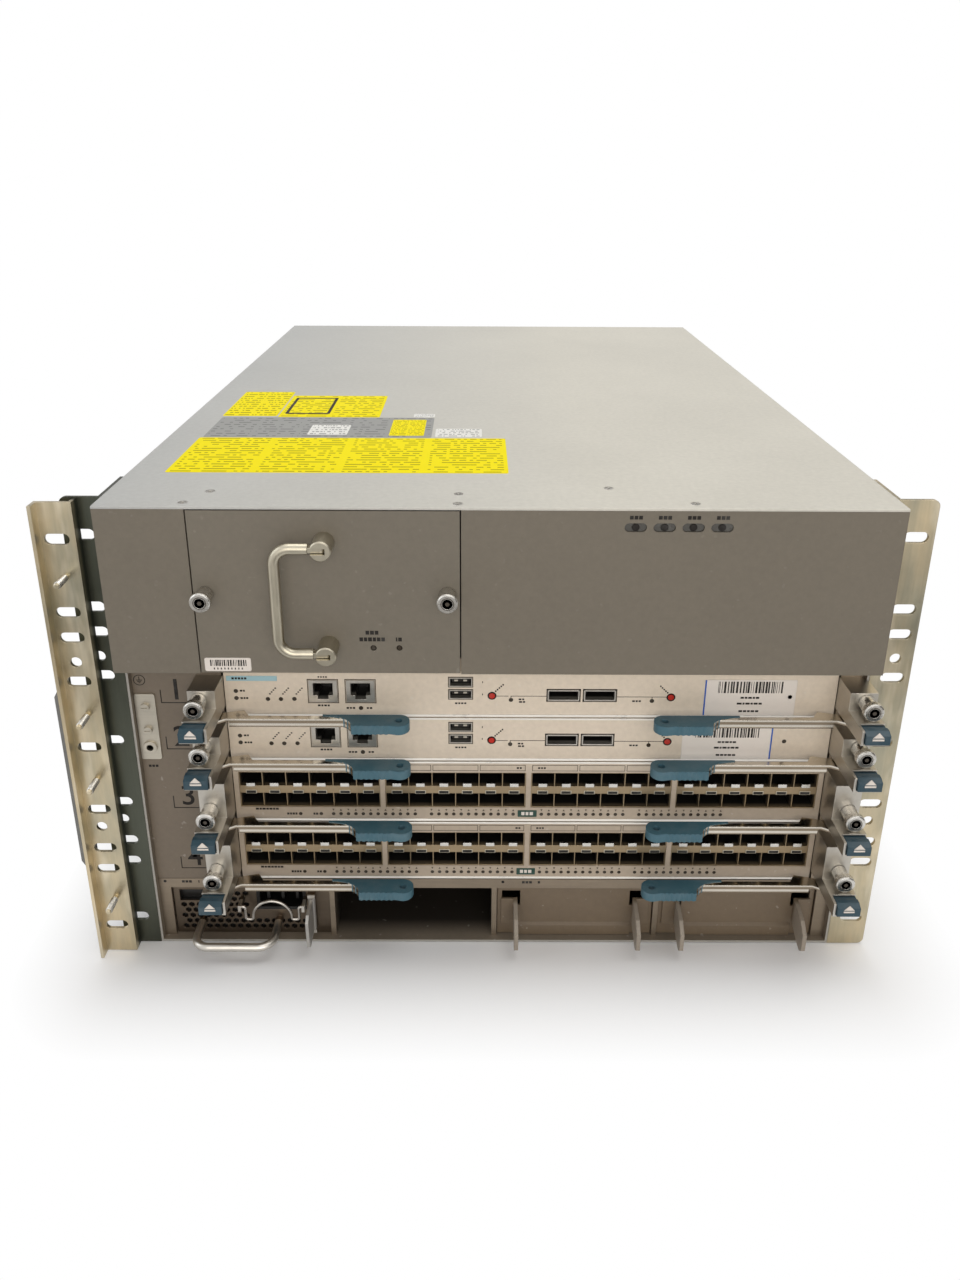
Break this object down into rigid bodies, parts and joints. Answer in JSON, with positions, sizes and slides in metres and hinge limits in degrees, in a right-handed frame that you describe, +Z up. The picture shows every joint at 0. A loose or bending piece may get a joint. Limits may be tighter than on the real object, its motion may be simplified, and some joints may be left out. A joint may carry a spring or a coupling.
{
  "type": "modular chassis switch",
  "caption": "Rack-mount modular chassis switch with fan tray, supervisor and pluggable-port modules, power bays, rack ears and a folding fan handle.",
  "frame": {"origin": "middle of the base's underside", "axes": "+X right seen from the front, +Y from the front to the back, +Z up"},
  "size_m": [0.502, 0.6326, 0.3099],
  "materials": {
    "cover_paint": "fine-textured paint, warm light grey",
    "shell_steel": "fine-textured paint",
    "bezel_paint": "fine-textured paint, warm dark grey",
    "screw_steel": "turned, satin",
    "light_lens": "clear, moulded",
    "cage_steel": "rolled sheet, satin",
    "panel_steel": "fine-textured paint, cream grey",
    "earth_metal": "tinned, satin",
    "circuit_board": "solder mask",
    "tray_steel": "fine-textured paint, warm dark grey",
    "fan_plastic": "moulded, matt",
    "rotor_plastic": "moulded, matt",
    "handle_nickel": "satin nickel plate",
    "ear_zinc": "yellow-passivated zinc",
    "guard_plastic": "moulded, matt",
    "supply_steel": "rolled sheet, satin, with a black inlet",
    "bail_wire": "drawn wire",
    "latch_plastic": "rolled sheet, satin",
    "blank_steel": "fine-textured paint, warm grey",
    "faceplate_paint": "fine-textured paint, cream grey",
    "bracket_steel": "rolled sheet, satin",
    "thumbscrew_steel": "turned, knurled rim",
    "port_metal": "tinned shields, with a green board behind",
    "port_brass": "dark cage fronts with a brass-coloured middle band",
    "button_plastic": "moulded, dark blue",
    "lever_steel": "bare steel arm with a dark blue moulded grip"
  },
  "bodies": {
    "chassis": {"bay_frame": "cage_steel", "bezel_left": "bezel_paint", "bezel_right": "bezel_paint", "card_cage": "cage_steel", "chassis_shell": "shell_steel", "cover_screws": "screw_steel", "edge_guard": "guard_plastic", "ground_plate": "earth_metal", "midplane": "circuit_board", "rack_ear_left": "ear_zinc", "rack_ear_right": "ear_zinc", "slot_number_panel": "panel_steel", "status_lights": "light_lens", "stud_bracket": "ear_zinc", "top_cover": "cover_paint"},
    "fan_tray": {"fan_tray": "tray_steel", "fan_frames": "fan_plastic", "fan_handle_posts": "handle_nickel"},
    "fan_handle": {"fan_handle": "handle_nickel"},
    "fan_screw_left": {"fan_screw_left": "screw_steel"},
    "fan_rotor_left": {"fan_rotor_left": "rotor_plastic"},
    "fan_screw_right": {"fan_screw_right": "screw_steel"},
    "fan_rotor_right": {"fan_rotor_right": "rotor_plastic"},
    "supervisor_1": {"supervisor_1_faceplate": "faceplate_paint", "supervisor_1_board": "port_metal", "supervisor_1_brackets": "bracket_steel", "supervisor_1_thumbscrews": "thumbscrew_steel"},
    "lever_1_left": {"lever_1_left": "lever_steel"},
    "eject_button_1_left": {"eject_button_1_left": "button_plastic"},
    "lever_1_right": {"lever_1_right": "lever_steel"},
    "eject_button_1_right": {"eject_button_1_right": "button_plastic"},
    "supervisor_2": {"supervisor_2_faceplate": "faceplate_paint", "supervisor_2_board": "port_metal", "supervisor_2_brackets": "bracket_steel", "supervisor_2_thumbscrews": "thumbscrew_steel"},
    "lever_2_left": {"lever_2_left": "lever_steel"},
    "eject_button_2_left": {"eject_button_2_left": "button_plastic"},
    "lever_2_right": {"lever_2_right": "lever_steel"},
    "eject_button_2_right": {"eject_button_2_right": "button_plastic"},
    "io_module_3": {"io_module_3_faceplate": "faceplate_paint", "io_module_3_board": "port_brass", "io_module_3_brackets": "bracket_steel", "io_module_3_thumbscrews": "thumbscrew_steel"},
    "lever_3_left": {"lever_3_left": "lever_steel"},
    "eject_button_3_left": {"eject_button_3_left": "button_plastic"},
    "lever_3_right": {"lever_3_right": "lever_steel"},
    "eject_button_3_right": {"eject_button_3_right": "button_plastic"},
    "io_module_4": {"io_module_4_faceplate": "faceplate_paint", "io_module_4_board": "port_brass", "io_module_4_brackets": "bracket_steel", "io_module_4_thumbscrews": "thumbscrew_steel"},
    "lever_4_left": {"lever_4_left": "lever_steel"},
    "eject_button_4_left": {"eject_button_4_left": "button_plastic"},
    "lever_4_right": {"lever_4_right": "lever_steel"},
    "eject_button_4_right": {"eject_button_4_right": "button_plastic"},
    "power_supply": {"power_supply": "supply_steel"},
    "supply_bail": {"supply_bail": "bail_wire"},
    "supply_latch": {"supply_latch": "latch_plastic"},
    "power_blank_3": {"power_blank_3": "blank_steel"},
    "power_blank_4": {"power_blank_4": "blank_steel"}
  },
  "joints": [
    {"name": "fan_tray_slide", "type": "slide", "parent": "chassis", "child": "fan_tray", "axis": [0, -1, 0], "range_m": [0, 0.26]},
    {"name": "fan_handle_fold", "type": "hinge", "parent": "fan_tray", "child": "fan_handle", "pos_m": [-0.0956, -0.3155, 0.2587], "axis": [0, 0, 1], "range_deg": [0, 90]},
    {"name": "fan_screw_left_turn", "type": "hinge", "parent": "fan_tray", "child": "fan_screw_left", "pos_m": [-0.1626, -0.305, 0.2587], "axis": [0, 1, 0], "continuous": true},
    {"name": "fan_rotor_left_spin", "type": "hinge", "parent": "fan_tray", "child": "fan_rotor_left", "pos_m": [-0.1299, -0.215, 0.2448], "axis": [0, 1, 0], "continuous": true},
    {"name": "fan_screw_right_turn", "type": "hinge", "parent": "fan_tray", "child": "fan_screw_right", "pos_m": [-0.0286, -0.305, 0.2587], "axis": [0, 1, 0], "continuous": true},
    {"name": "fan_rotor_right_spin", "type": "hinge", "parent": "fan_tray", "child": "fan_rotor_right", "pos_m": [-0.0613, -0.215, 0.2448], "axis": [0, 1, 0], "continuous": true},
    {"name": "supervisor_1_slide", "type": "slide", "parent": "chassis", "child": "supervisor_1", "axis": [0, -1, 0], "range_m": [0, 0.5]},
    {"name": "lever_1_left_swing", "type": "hinge", "parent": "supervisor_1", "child": "lever_1_left", "pos_m": [-0.172, -0.299, 0.175], "axis": [0, 0, -1], "range_deg": [0, 60]},
    {"name": "eject_button_1_left_press", "type": "slide", "parent": "supervisor_1", "child": "eject_button_1_left", "axis": [0, 1, 0], "range_m": [0, 0.0025], "stiffness_N_per_m": 400},
    {"name": "lever_1_right_swing", "type": "hinge", "parent": "supervisor_1", "child": "lever_1_right", "pos_m": [0.212, -0.299, 0.175], "axis": [0, 0, 1], "range_deg": [0, 60]},
    {"name": "eject_button_1_right_press", "type": "slide", "parent": "supervisor_1", "child": "eject_button_1_right", "axis": [0, 1, 0], "range_m": [0, 0.0025], "stiffness_N_per_m": 400},
    {"name": "supervisor_2_slide", "type": "slide", "parent": "chassis", "child": "supervisor_2", "axis": [0, -1, 0], "range_m": [0, 0.5]},
    {"name": "lever_2_left_swing", "type": "hinge", "parent": "supervisor_2", "child": "lever_2_left", "pos_m": [-0.172, -0.299, 0.14399], "axis": [0, 0, -1], "range_deg": [0, 60]},
    {"name": "eject_button_2_left_press", "type": "slide", "parent": "supervisor_2", "child": "eject_button_2_left", "axis": [0, 1, 0], "range_m": [0, 0.0025], "stiffness_N_per_m": 400},
    {"name": "lever_2_right_swing", "type": "hinge", "parent": "supervisor_2", "child": "lever_2_right", "pos_m": [0.212, -0.299, 0.14399], "axis": [0, 0, 1], "range_deg": [0, 60]},
    {"name": "eject_button_2_right_press", "type": "slide", "parent": "supervisor_2", "child": "eject_button_2_right", "axis": [0, 1, 0], "range_m": [0, 0.0025], "stiffness_N_per_m": 400},
    {"name": "io_module_3_slide", "type": "slide", "parent": "chassis", "child": "io_module_3", "axis": [0, -1, 0], "range_m": [0, 0.5]},
    {"name": "lever_3_left_swing", "type": "hinge", "parent": "io_module_3", "child": "lever_3_left", "pos_m": [-0.172, -0.299, 0.0992], "axis": [0, 0, -1], "range_deg": [0, 60]},
    {"name": "eject_button_3_left_press", "type": "slide", "parent": "io_module_3", "child": "eject_button_3_left", "axis": [0, 1, 0], "range_m": [0, 0.0025], "stiffness_N_per_m": 400},
    {"name": "lever_3_right_swing", "type": "hinge", "parent": "io_module_3", "child": "lever_3_right", "pos_m": [0.212, -0.299, 0.0992], "axis": [0, 0, 1], "range_deg": [0, 60]},
    {"name": "eject_button_3_right_press", "type": "slide", "parent": "io_module_3", "child": "eject_button_3_right", "axis": [0, 1, 0], "range_m": [0, 0.0025], "stiffness_N_per_m": 400},
    {"name": "io_module_4_slide", "type": "slide", "parent": "chassis", "child": "io_module_4", "axis": [0, -1, 0], "range_m": [0, 0.5]},
    {"name": "lever_4_left_swing", "type": "hinge", "parent": "io_module_4", "child": "lever_4_left", "pos_m": [-0.172, -0.299, 0.0544], "axis": [0, 0, -1], "range_deg": [0, 60]},
    {"name": "eject_button_4_left_press", "type": "slide", "parent": "io_module_4", "child": "eject_button_4_left", "axis": [0, 1, 0], "range_m": [0, 0.0025], "stiffness_N_per_m": 400},
    {"name": "lever_4_right_swing", "type": "hinge", "parent": "io_module_4", "child": "lever_4_right", "pos_m": [0.212, -0.299, 0.0544], "axis": [0, 0, 1], "range_deg": [0, 60]},
    {"name": "eject_button_4_right_press", "type": "slide", "parent": "io_module_4", "child": "eject_button_4_right", "axis": [0, 1, 0], "range_m": [0, 0.0025], "stiffness_N_per_m": 400},
    {"name": "power_supply_slide", "type": "slide", "parent": "chassis", "child": "power_supply", "axis": [0, -1, 0], "range_m": [0, 0.34]},
    {"name": "supply_bail_swing", "type": "hinge", "parent": "power_supply", "child": "supply_bail", "pos_m": [-0.1447, -0.2905, 0.0295], "axis": [-1, 0, 0], "range_deg": [0, 100]},
    {"name": "supply_latch_press", "type": "hinge", "parent": "power_supply", "child": "supply_latch", "pos_m": [-0.1196, -0.2858, 0.02], "axis": [0, 0, -1], "range_deg": [0, 10], "stiffness_Nm_per_rad": 0.5},
    {"name": "power_blank_3_slide", "type": "slide", "parent": "chassis", "child": "power_blank_3", "axis": [0, -1, 0], "range_m": [0, 0.06]},
    {"name": "power_blank_4_slide", "type": "slide", "parent": "chassis", "child": "power_blank_4", "axis": [0, -1, 0], "range_m": [0, 0.06]}
  ]
}
